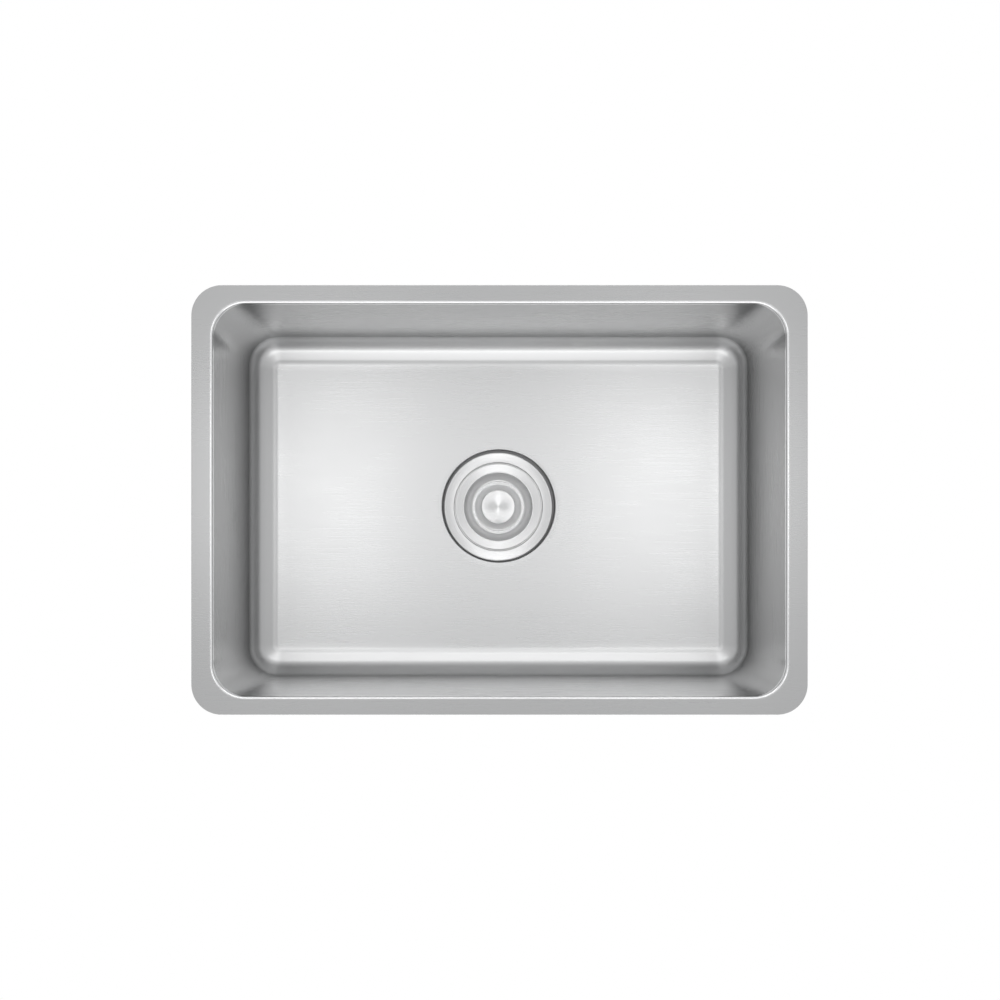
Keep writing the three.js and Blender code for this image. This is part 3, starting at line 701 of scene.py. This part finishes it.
def thickened(bm, sheet, floor_is_up=True):
    """Gives a skin its thickness, away from the side that its faces look to."""
    bmesh.ops.remove_doubles(bm, verts=bm.verts, dist=0.0005)
    bmesh.ops.recalc_face_normals(bm, faces=bm.faces)
    lowest = min(bm.faces, key=lambda face: (face.calc_center_median().z, -abs(face.normal.z)))
    if (lowest.normal.z > 0) != floor_is_up:
        bmesh.ops.reverse_faces(bm, faces=bm.faces)
    bmesh.ops.solidify(bm, geom=list(bm.faces), thickness=sheet)


thickened(bowl, SHEET)
rim_cut = [e for e in bowl.edges if len(e.link_faces) == 2 and e.verts[0].co.z > -SHEET - 0.1
           and min(abs(f.normal.z) for f in e.link_faces) < 0.1
           and max(abs(f.normal.z) for f in e.link_faces) > 0.9
           and max(abs(e.verts[0].co.x) / RIM_LENGTH, abs(e.verts[0].co.y) / RIM_WIDTH) > 0.47]
bevelled(bowl, rim_cut, 0.2, 2)
heights = [vertex.co.z for vertex in bowl.verts]
print("bowl heights:", round(min(heights), 2), "to", round(max(heights), 2), "mm")
finished("sink_bowl_pressing", bowl, "sink_bowl", bowl_satin)

# %% [markdown]
# ## Sound-deadening pads
#
# Thin steel rings like a pan under running water, so the makers stick slabs of heavy rubber
# outside: one on each wall and one on each side of the drain, under the floor. They are cut with
# round corners. The floor pads bend with the falling floor, and each wall pad leans with its
# wall.

# %% A slab of pad rubber
PAD_THICKNESS = 3
PAD_CORNER = 9


def rotated(bm, angle, axis):
    """Turns a whole piece about an axis through the drain's middle."""
    matrix = Matrix.Rotation(angle, 3, axis)
    bmesh.ops.rotate(bm, cent=(0, 0, 0), matrix=matrix, verts=bm.verts)


def pad_slab(width, depth):
    """A flat slab with round corners and softened edges, lying on Z = 0."""
    bm = bmesh.new()
    bmesh.ops.create_cube(bm, size=1)
    bmesh.ops.scale(bm, vec=(width, depth, PAD_THICKNESS), verts=bm.verts)
    bmesh.ops.translate(bm, vec=(0, 0, PAD_THICKNESS / 2), verts=bm.verts)
    bevelled(bm, upright_edges(bm), PAD_CORNER, 8)
    bevelled(bm, loop_edges(bm, 0) + loop_edges(bm, PAD_THICKNESS), 0.5, 3)
    return bm


# %% Six pads, each on its side of the bowl
GLUE_LINE = 0.3
FLOOR_PAD_NEAR, FLOOR_PAD_FAR, FLOOR_PAD_DEPTH = 75.6, 210.3, 254.6
WALL_TOP, WALL_FOOT = -BEAD_RADIUS, -177
PADDED_LEAN = 4.6  # how far the wall leans between its top and its foot
WALL_PAD_HEIGHT = 106.3


def floor_pad(side):
    """A pad under the floor; side is 1 on the right and -1 on the left."""
    near, far, depth = FLOOR_PAD_NEAR, FLOOR_PAD_FAR, FLOOR_PAD_DEPTH
    bm = pad_slab(far - near, depth)
    bmesh.ops.translate(bm, vec=(side * (near + far) / 2, 0, 0), verts=bm.verts)
    for step in range(1, 8):
        cut(bm, (side * (near + step * (far - near) / 8), 0, 0), (1, 0, 0))
        cut(bm, (0, depth * (step / 8 - 0.5), 0), (0, 1, 0))
    for vertex in bm.verts:
        lift = floor_height(vertex.co.x, vertex.co.y) - SHEET - GLUE_LINE - PAD_THICKNESS
        vertex.co.z += lift
    return bm


def wall_pad(turn, half_opening, length):
    """A pad on the wall that faces the way of its turn about Z."""
    lean = atan2(PADDED_LEAN, WALL_TOP - WALL_FOOT)
    bm = pad_slab(WALL_PAD_HEIGHT, length)
    bmesh.ops.translate(bm, vec=(0, 0, SHEET + GLUE_LINE), verts=bm.verts)
    rotated(bm, pi / 2 + lean, "Y")
    middle = (half_opening - PADDED_LEAN / 2, 0, (WALL_TOP + WALL_FOOT) / 2)
    bmesh.ops.translate(bm, vec=middle, verts=bm.verts)
    rotated(bm, turn, "Z")
    return bm


for side, word in ((1, "right"), (-1, "left")):
    slab = floor_pad(side)
    finished(f"floor_pad_{word}_slab", slab, f"floor_pad_{word}", pad_rubber)
for word, turn in (("right", 0), ("back", pi / 2), ("left", pi), ("front", -pi / 2)):
    on_end = word in ("right", "left")
    half = (OPENING_LENGTH if on_end else OPENING_WIDTH) / 2
    slab = wall_pad(turn, half, 179.8 if on_end else 345.8)
    finished(f"wall_pad_{word}_slab", slab, f"wall_pad_{word}", pad_rubber)

# %% [markdown]
# ## Turned pieces
#
# Most of the strainer is round, so it is drawn as half of its section and spun about the drain's
# axis. The section is a few corners, each with the radius that rounds it. A bevel of that corner
# draws the arc. Each straight stretch gets a holding point near both ends, so that a rounding's
# shading doesn't run out over the flat beside it. Heights are measured from the floor at the
# drain.

# %% A section from its corners
LONG_STRETCH, HOLDING_INSET = 1.5, 0.3


def wrapped(angle):
    """The angle between -180 and 180 degrees, in radians."""
    return atan2(sin(angle), cos(angle))


def section_wire(outline, closed):
    """A wire through corners given as (radius, height) or (radius, height, rounding)."""
    bm = bmesh.new()
    points = [bm.verts.new((corner[0], 0, corner[1])) for corner in outline]
    pairs = list(zip(points, points[1:])) + ([(points[-1], points[0])] if closed else [])
    for pair in pairs:
        bm.edges.new(pair)
    for index, corner in enumerate(outline):
        if len(corner) == 3:
            before = outline[index - 1]
            after = outline[(index + 1) % len(outline)]
            arriving = atan2(corner[1] - before[1], corner[0] - before[0])
            leaving = atan2(after[1] - corner[1], after[0] - corner[0])
            turn = abs(wrapped(leaving - arriving))
            steps = max(2, round(degrees(turn) / (9 if corner[2] > 1 else 22)))
            bevelled(bm, [points[index]], corner[2] * tan(turn / 2), steps, "VERTICES")
    return bm


def holding_points(bm):
    """Adds a point near both ends of each long stretch of a section."""
    for edge in [e for e in bm.edges if e.calc_length() > LONG_STRETCH]:
        start, length = edge.verts[0], edge.calc_length()
        rest, _ = bmesh.utils.edge_split(edge, start, HOLDING_INSET / length)
        far_end = rest.verts[0] if rest.verts[1] == start else rest.verts[1]
        if rest.calc_length() > length / 2:
            bmesh.utils.edge_split(rest, far_end, HOLDING_INSET / rest.calc_length())


# %% Spinning a section about the drain
def spun(bm, steps):
    """Spins a section once round the drain's axis."""
    bmesh.ops.spin(bm, geom=[*bm.verts, *bm.edges], cent=(0, 0, 0), axis=(0, 0, 1),
                   dvec=(0, 0, 0), angle=2 * pi, steps=steps, use_merge=True)


def turned(outline, steps=144, first=0.0):
    """A solid of revolution. A section that starts on the axis is left open there."""
    on_axis = outline[0][0] == 0
    bm = section_wire(outline, closed=not on_axis)
    holding_points(bm)
    rotated(bm, first, "Z")
    spun(bm, steps)
    bmesh.ops.remove_doubles(bm, verts=bm.verts, dist=0.0005)
    bmesh.ops.recalc_face_normals(bm, faces=bm.faces)
    bmesh.ops.translate(bm, vec=(0, 0, FLOOR_AT_DRAIN), verts=bm.verts)
    return bm


def ring(inner, outer, foot, top, rounding=0.2):
    """A flat ring with softened edges."""
    corners = ((inner, foot), (outer, foot), (outer, top), (inner, top))
    return turned([(*corner, rounding) for corner in corners])


# %% [markdown]
# ## Strainer body
#
# The body hangs in the recess by its wide flange. Inside are two shoulders, the upper one for the
# lid's seal and the lower one for the basket, then the cup, and the outlet with its threaded
# spigot. The threads of a real one are helical. Plain ridges look the same under the nuts.

# %% Flange, cup, neck and spigot
THREAD_PITCH = 4.2


def threads(root, crest, top, count):
    """Ridges down the outside of a section, from the top one down."""
    corners = []
    for turn in range(count):
        start = top - turn * THREAD_PITCH
        corners += [(root, start - 0.2), (crest, start - 1.5, 0.2), (crest, start - 2.7, 0.2)]
    return [*corners, (root, top - count * THREAD_PITCH)]


body_outline = [
    (57.15, -4.5), (57.15, -0.2, 1.3), (47.0, -0.9, 0.3), (46.3, -1.6), (46.3, -3.3, 0.2),
    (42.2, -3.3, 0.4), (42.2, -8.8, 0.2), (39.8, -8.8, 0.4), (39.8, -46.8, 5), (20.5, -51.8, 1),
    (18.5, -53.8, 1), (18.5, -71.8), (22.5, -71.8, 0.3),
    *reversed(threads(22.5, 23.5, -57.1, 3)),
    (22.5, -53.0, 0.5), (41.0, -48.0, 6), (41.0, -26.9, 0.3),
    *reversed(threads(43.4, 44.4, -9.0, 4)),
    (43.4, -4.5, 0.3), (47.5, -4.5, 0.3), (47.5, -2.1, 0.4), (55.95, -1.4, 0.6), (55.95, -4.5),
]
finished("strainer_body_turning", turned(body_outline), "strainer_body", body_turned)

# %% [markdown]
# ## What clamps the strainer
#
# Above the sheet a gasket seals the flange. It is a little wider than the flange, and shows as
# the dark line round it. Below the sheet come a thick rubber washer, a fibre ring that lets the
# nut slide while it is tightened, and the big lock nut. Its eight lugs are for a spanner or a tap
# with a mallet. They are faces of the spun ring, pushed outwards.

# %% Gasket, washers and lock nut
LEAST_LUG_AREA = 12

gasket = ring(45.4, 58.7, -5.9, -4.6, 0.4)
bmesh.ops.translate(gasket, vec=(*RECESS_OFF_AXIS, 0), verts=gasket.verts)
finished("flange_gasket_ring", gasket, "flange_gasket", gasket_rubber)
finished("rubber_washer_ring", ring(44.8, 56.2, -10.3, -7.3, 0.6), "rubber_washer",
         seal_rubber)
finished("friction_ring_board", ring(44.8, 55.2, -11.4, -10.4, 0.15), "friction_ring",
         washer_fibre)


def pushed_out(bm, count, half_width, wall, reach):
    """Pushes evenly spaced patches of a ring's outer wall outwards as lugs or ribs."""
    patches = []
    for face in bm.faces:
        middle = face.calc_center_median()
        angle = atan2(middle.y, middle.x) * count / (2 * pi)
        off = abs(angle - round(angle)) * 2 * pi / count
        upright = abs(face.normal.z) < 0.3 and hypot(middle.x, middle.y) > wall - 0.2
        tall = face.calc_area() > LEAST_LUG_AREA
        if upright and tall and off < half_width:
            patches.append(face)
    moved = bmesh.ops.extrude_face_region(bm, geom=patches)["geom"]
    bmesh.ops.delete(bm, geom=patches, context="FACES")
    grow = (wall + reach) / wall
    points = points_in(moved)
    bmesh.ops.scale(bm, vec=(grow, grow, 1), verts=points)
    tips = {e for v in points for e in v.link_edges if e.calc_face_angle(0) > radians(50)}
    bevelled(bm, tips, 0.7, 3)
    return bm


LOCK_NUT_STEPS = 104
lock_nut = turned([(44.8, -24.5, 0.5), (49.8, -24.5, 0.5), (49.8, -11.5, 0.5), (44.8, -11.5, 0.5)],
                  LOCK_NUT_STEPS, first=-1.5 * 2 * pi / LOCK_NUT_STEPS)
pushed_out(lock_nut, 8, radians(5.2), 49.8, 4.5)
finished("lock_nut_casting", lock_nut, "lock_nut", nut_zinc)

# %% [markdown]
# ## Tailpiece
#
# A plated tube with a flared top hangs from the spigot. The slip nut catches it under the flare
# and squeezes a plastic washer above it. The nut's ribs give fingers a hold.

# %% Washer, tube and slip nut
finished("tailpiece_washer_ring", ring(18.5, 22.5, -74.4, -71.9, 0.4), "tailpiece_washer",
         washer_plastic)
tube_outline = [(18.15, -174.5), (19.05, -174.5), (19.05, -76.0, 0.5), (22.5, -76.0, 0.3),
                (22.5, -74.5, 0.3), (18.15, -74.5, 0.5)]
finished("tailpiece_tube", turned(tube_outline), "tailpiece", tube_plating)

SLIP_NUT_STEPS = 100
slip_nut = turned([(19.45, -79.6, 0.4), (27.5, -79.6, 1), (27.5, -58.8, 0.8), (23.9, -58.8, 0.5),
                   (23.9, -76.1), (19.45, -76.1, 0.3)],
                  SLIP_NUT_STEPS, first=-1.5 * 2 * pi / SLIP_NUT_STEPS)
pushed_out(slip_nut, 10, radians(5.4), 27.5, 2.2)
finished("slip_nut_casting", slip_nut, "slip_nut", nut_zinc)

# %% [markdown]
# ## Basket
#
# The basket hangs on the lower shoulder and catches what shouldn't go down the drain. It is a
# thin pressed cup, so it is spun as a skin and then thickened. The holes are punched afterwards,
# so they are cut afterwards here too: one cutter holds all the punches, and one Boolean makes
# every hole.

# %% Punches for all the holes
HOLE_RADIUS = 2.1
BASKET_FLOOR, BASKET_RIM = -36.0, -6.8
CUP_RADIUS, CUP_TAPER = 34.7, 3.4
FLOOR_HOLES = ((10.5, 9), (16.5, 15), (22.5, 21), (28.2, 27))  # radius of a ring, and its holes
WALL_HOLES = ((-27.5, 0), (-21.5, 0.5), (-15.5, 0))  # height of a row, and its offset in steps
HOLES_IN_A_ROW = 30
PUNCH_LENGTH, PUNCH_SIDES = 6, 14


def punch(bm, radius, angle, height, turn):
    """Adds one round punch that points the way of the turn."""
    place = (radius * cos(angle), radius * sin(angle), FLOOR_AT_DRAIN + height)
    bmesh.ops.create_cone(bm, cap_ends=True, segments=PUNCH_SIDES, radius1=HOLE_RADIUS,
                          radius2=HOLE_RADIUS, depth=PUNCH_LENGTH,
                          matrix=Matrix.Translation(place) @ turn)


punches = bmesh.new()
for radius, count in FLOOR_HOLES:
    for step in range(count):
        angle = 2 * pi * (step + 0.5) / count
        punch(punches, radius, angle, BASKET_FLOOR, Matrix.Identity(4))
for height, offset in WALL_HOLES:
    radius = CUP_RADIUS + CUP_TAPER * (height - BASKET_FLOOR) / (BASKET_RIM - BASKET_FLOOR)
    for step in range(HOLES_IN_A_ROW):
        angle = 2 * pi * (step + offset) / HOLES_IN_A_ROW
        sideways = Matrix.Rotation(angle, 4, "Z") @ Matrix.Rotation(pi / 2, 4, "Y")
        punch(punches, radius, angle, height, sideways)
print("punches:", len(punches.faces) // (PUNCH_SIDES + 2))

# %% A thin cup, punched
BASKET_SHEET = 0.8


def turned_skin(outline, sheet, steps=144):
    """Spins an open section and gives it the sheet's thickness, below the side that looks up."""
    bm = section_wire(outline, closed=False)
    holding_points(bm)
    spun(bm, steps)
    bmesh.ops.translate(bm, vec=(0, 0, FLOOR_AT_DRAIN), verts=bm.verts)
    thickened(bm, sheet)
    return bm


def punched(bm, cutter_bm):
    """Cuts a mesh with another and returns the result."""
    holders = []
    for part in (bm, cutter_bm):
        mesh = bpy.data.meshes.new("punching")
        part.to_mesh(mesh)
        part.free()
        holders.append(placed("punching", mesh))
    boolean = holders[0].modifiers.new("holes", "BOOLEAN")
    boolean.operation = "DIFFERENCE"
    boolean.solver = "EXACT"
    boolean.object = holders[1]
    bpy.context.view_layer.update()
    result = bmesh.new()
    result.from_object(holders[0], bpy.context.evaluated_depsgraph_get())
    for holder in holders:
        mesh = holder.data
        bpy.data.objects.remove(holder)
        bpy.data.meshes.remove(mesh)
    return result


cup_outline = [(41.8, BASKET_RIM), (38.1, BASKET_RIM, 1.0), (CUP_RADIUS, BASKET_FLOOR, 5),
               (3.15, BASKET_FLOOR)]
cup_skin = turned_skin(cup_outline, BASKET_SHEET, steps=120)
finished("basket_cup_pressing", punched(cup_skin, punches), "basket_cup", basket_satin)

# %% [markdown]
# A soft ring seals under the basket's rim. A post is riveted through its floor and carries the
# knob that lifts it out.

# %% Ring, post, knob and rivet
finished("basket_ring_seal", ring(39.8, 41.8, -8.7, -7.7, 0.25), "basket_ring",
         seal_rubber)
post_outline = [(0, -37.9), (3, -37.9, 0.3), (3, -35.9), (5, -35.9, 0.2), (5, -34.4, 0.3),
                (3, -34.4, 0.4), (3, -18.9, 0.4), (0, -18.9)]
finished("basket_post_turning", turned(post_outline, 64), "basket_post", tube_plating)
grip_outline = [(0, -18.8), (3.15, -18.8), (3.15, -22.8, 0.2), (5.2, -22.8, 0.5), (7, -20.9, 0.8),
                (7, -15.8, 1.7), (0, -15.8)]
finished("basket_knob_turning", turned(grip_outline, 96), "basket_knob", tube_plating)
rivet_outline = [(0, -39.1), (4.5, -39.1, 0.8), (5.5, -38.1, 0.3), (5.5, -36.9), (3.15, -36.9),
                 (3.15, -38.0), (0, -38.0)]
finished("basket_rivet_head", turned(rivet_outline, 64), "basket_rivet", tube_plating)

# %% [markdown]
# ## Lid
#
# The lid closes the drain to fill the sink. It is pressed too: a flat edge that covers the seal,
# a round trough that fingers reach into, and a low plateau for the knob. Its underside shows when
# it is lifted, with the seal, a washer and a small nut on the knob's stud.

# %% Lid plate
LID_RADIUS, LID_SHEET = 45.1, 0.8
lid_outline = [(LID_RADIUS, -1.1), (44.5, -1.1), (35.95, -1.1, 2.2), (26.4, -11.1, 6.0),
               (16.2, -2.5, 1.6), (3.3, -2.5)]
lid_skin = turned_skin(lid_outline, LID_SHEET)
lid_rim = [e for e in lid_skin.edges if hypot(e.verts[0].co.x, e.verts[0].co.y) > LID_RADIUS - 0.1
           and abs(e.verts[0].co.z - e.verts[1].co.z) < 0.01 and e.calc_face_angle(0) > 1]
bevelled(lid_skin, lid_rim, 0.25, 3)
finished("lid_plate_pressing", lid_skin, "lid_plate", lid_turned)

# %% Seal, knob and washer of the lid
finished("lid_seal_ring", ring(42.7, 45.3, -3.2, -2.0, 0.35), "lid_seal", seal_rubber)
knob_outline = [(0, -9.6), (3, -9.6, 0.4), (3, -2.4), (17.4, -2.4, 0.2), (17.9, -1.9, 0.2),
                (17.1, -0.1, 0.2), (0, 0.7)]
finished("lid_knob_turning", turned(knob_outline), "lid_knob", knob_turned)
finished("lid_washer_ring", ring(3.3, 7, -4.4, -3.4, 0.15), "lid_washer", tube_plating)

# %% The nut on the knob's stud
HEXAGON_STEPS = 60


def hexagon_nut(across_flats, bore, foot, top):
    """A hexagon nut with turned-off corners and a countersunk bore."""
    corner = across_flats / 2 / cos(pi / 6)
    bm = turned([(bore, foot, 0.2), (corner, foot, 0.35), (corner, top, 0.35), (bore, top, 0.2)],
                HEXAGON_STEPS)
    for side in range(6):
        angle = pi * side / 3 + pi / 6
        outwards = Vector((cos(angle), sin(angle), 0))
        cut(bm, outwards * across_flats / 2, outwards, clear_outer=True)
        bmesh.ops.holes_fill(bm, edges=[e for e in bm.edges if e.is_boundary])
    bmesh.ops.recalc_face_normals(bm, faces=bm.faces)
    return bm


finished("lid_nut_hexagon", hexagon_nut(10, 3.3, -8.5, -4.5), "lid_nut", tube_plating)
print("triangles in all:", sum(triangles_made))

# %% [markdown]
# ## Floor
#
# The sink floats over a plain pale floor. The photograph's ground is pure white, so to the camera
# and in mirror images the floor glows at 1, which is white. Close under the sink it stays an
# ordinary matt white surface, which keeps the soft shadow. Seen straight down, the rim hides that
# patch, as it does in the photograph.

# %% A white floor that keeps its shadow
FLOOR_PLACE = -0.3776
SHADOW_PATCH_X, SHADOW_PATCH_Y = (-0.345, 0.35), (-0.225, 0.25)
PATCH_FADE = 0.05

floor_mesh = bmesh.new()
bmesh.ops.create_grid(floor_mesh, x_segments=24, y_segments=24, size=6)
bmesh.ops.translate(floor_mesh, vec=(0, 0, FLOOR_PLACE), verts=floor_mesh.verts)
ground = bpy.data.meshes.new("studio_floor")
floor_mesh.to_mesh(ground)
floor_mesh.free()
studio_floor = placed("studio_floor", ground)

white_ground = Finish("white_ground", (0.86, 0.86, 0.86), 0.9, **{"Specular IOR Level": 0})
floor_place = white_ground.node("TexCoord", {}, {}, "Object")


def smooth_step(value, low, high, first, last):
    """The first value below the low limit and the last one above the high limit."""
    return white_ground.node("MapRange", {"interpolation_type": "SMOOTHSTEP"},
                             {"Value": value, 1: low, 2: high, 3: first, 4: last}, "Result")


def outside(axis, low, high):
    """0 between two limits of a coordinate, and 1 past them."""
    value = white_ground.part(floor_place, axis)
    below = smooth_step(value, low, low + PATCH_FADE, 1, 0)
    return below + smooth_step(value, high - PATCH_FADE, high, 0, 1)


clear_of_sink = outside("X", *SHADOW_PATCH_X).most(outside("Y", *SHADOW_PATCH_Y))
camera_ray, glossy_ray, clear_ray = (white_ground.node("LightPath", {}, {}, name) for name in
                                     ("Is Camera Ray", "Is Glossy Ray", "Is Transmission Ray"))
seen = camera_ray.most(glossy_ray).most(clear_ray)
glow = white_ground.node("Emission", {}, {"Color": (1, 1, 1, 1), "Strength": 1.0}, "Emission")
ground_mix = white_ground.node("MixShader", {}, {0: seen * clear_of_sink,
                                                1: white_ground.shader, 2: glow})
white_ground.tree.links.new(ground_mix.socket, white_ground.output.inputs["Surface"])
ground.materials.append(white_ground.material)
print("floor at", FLOOR_PLACE, "m")
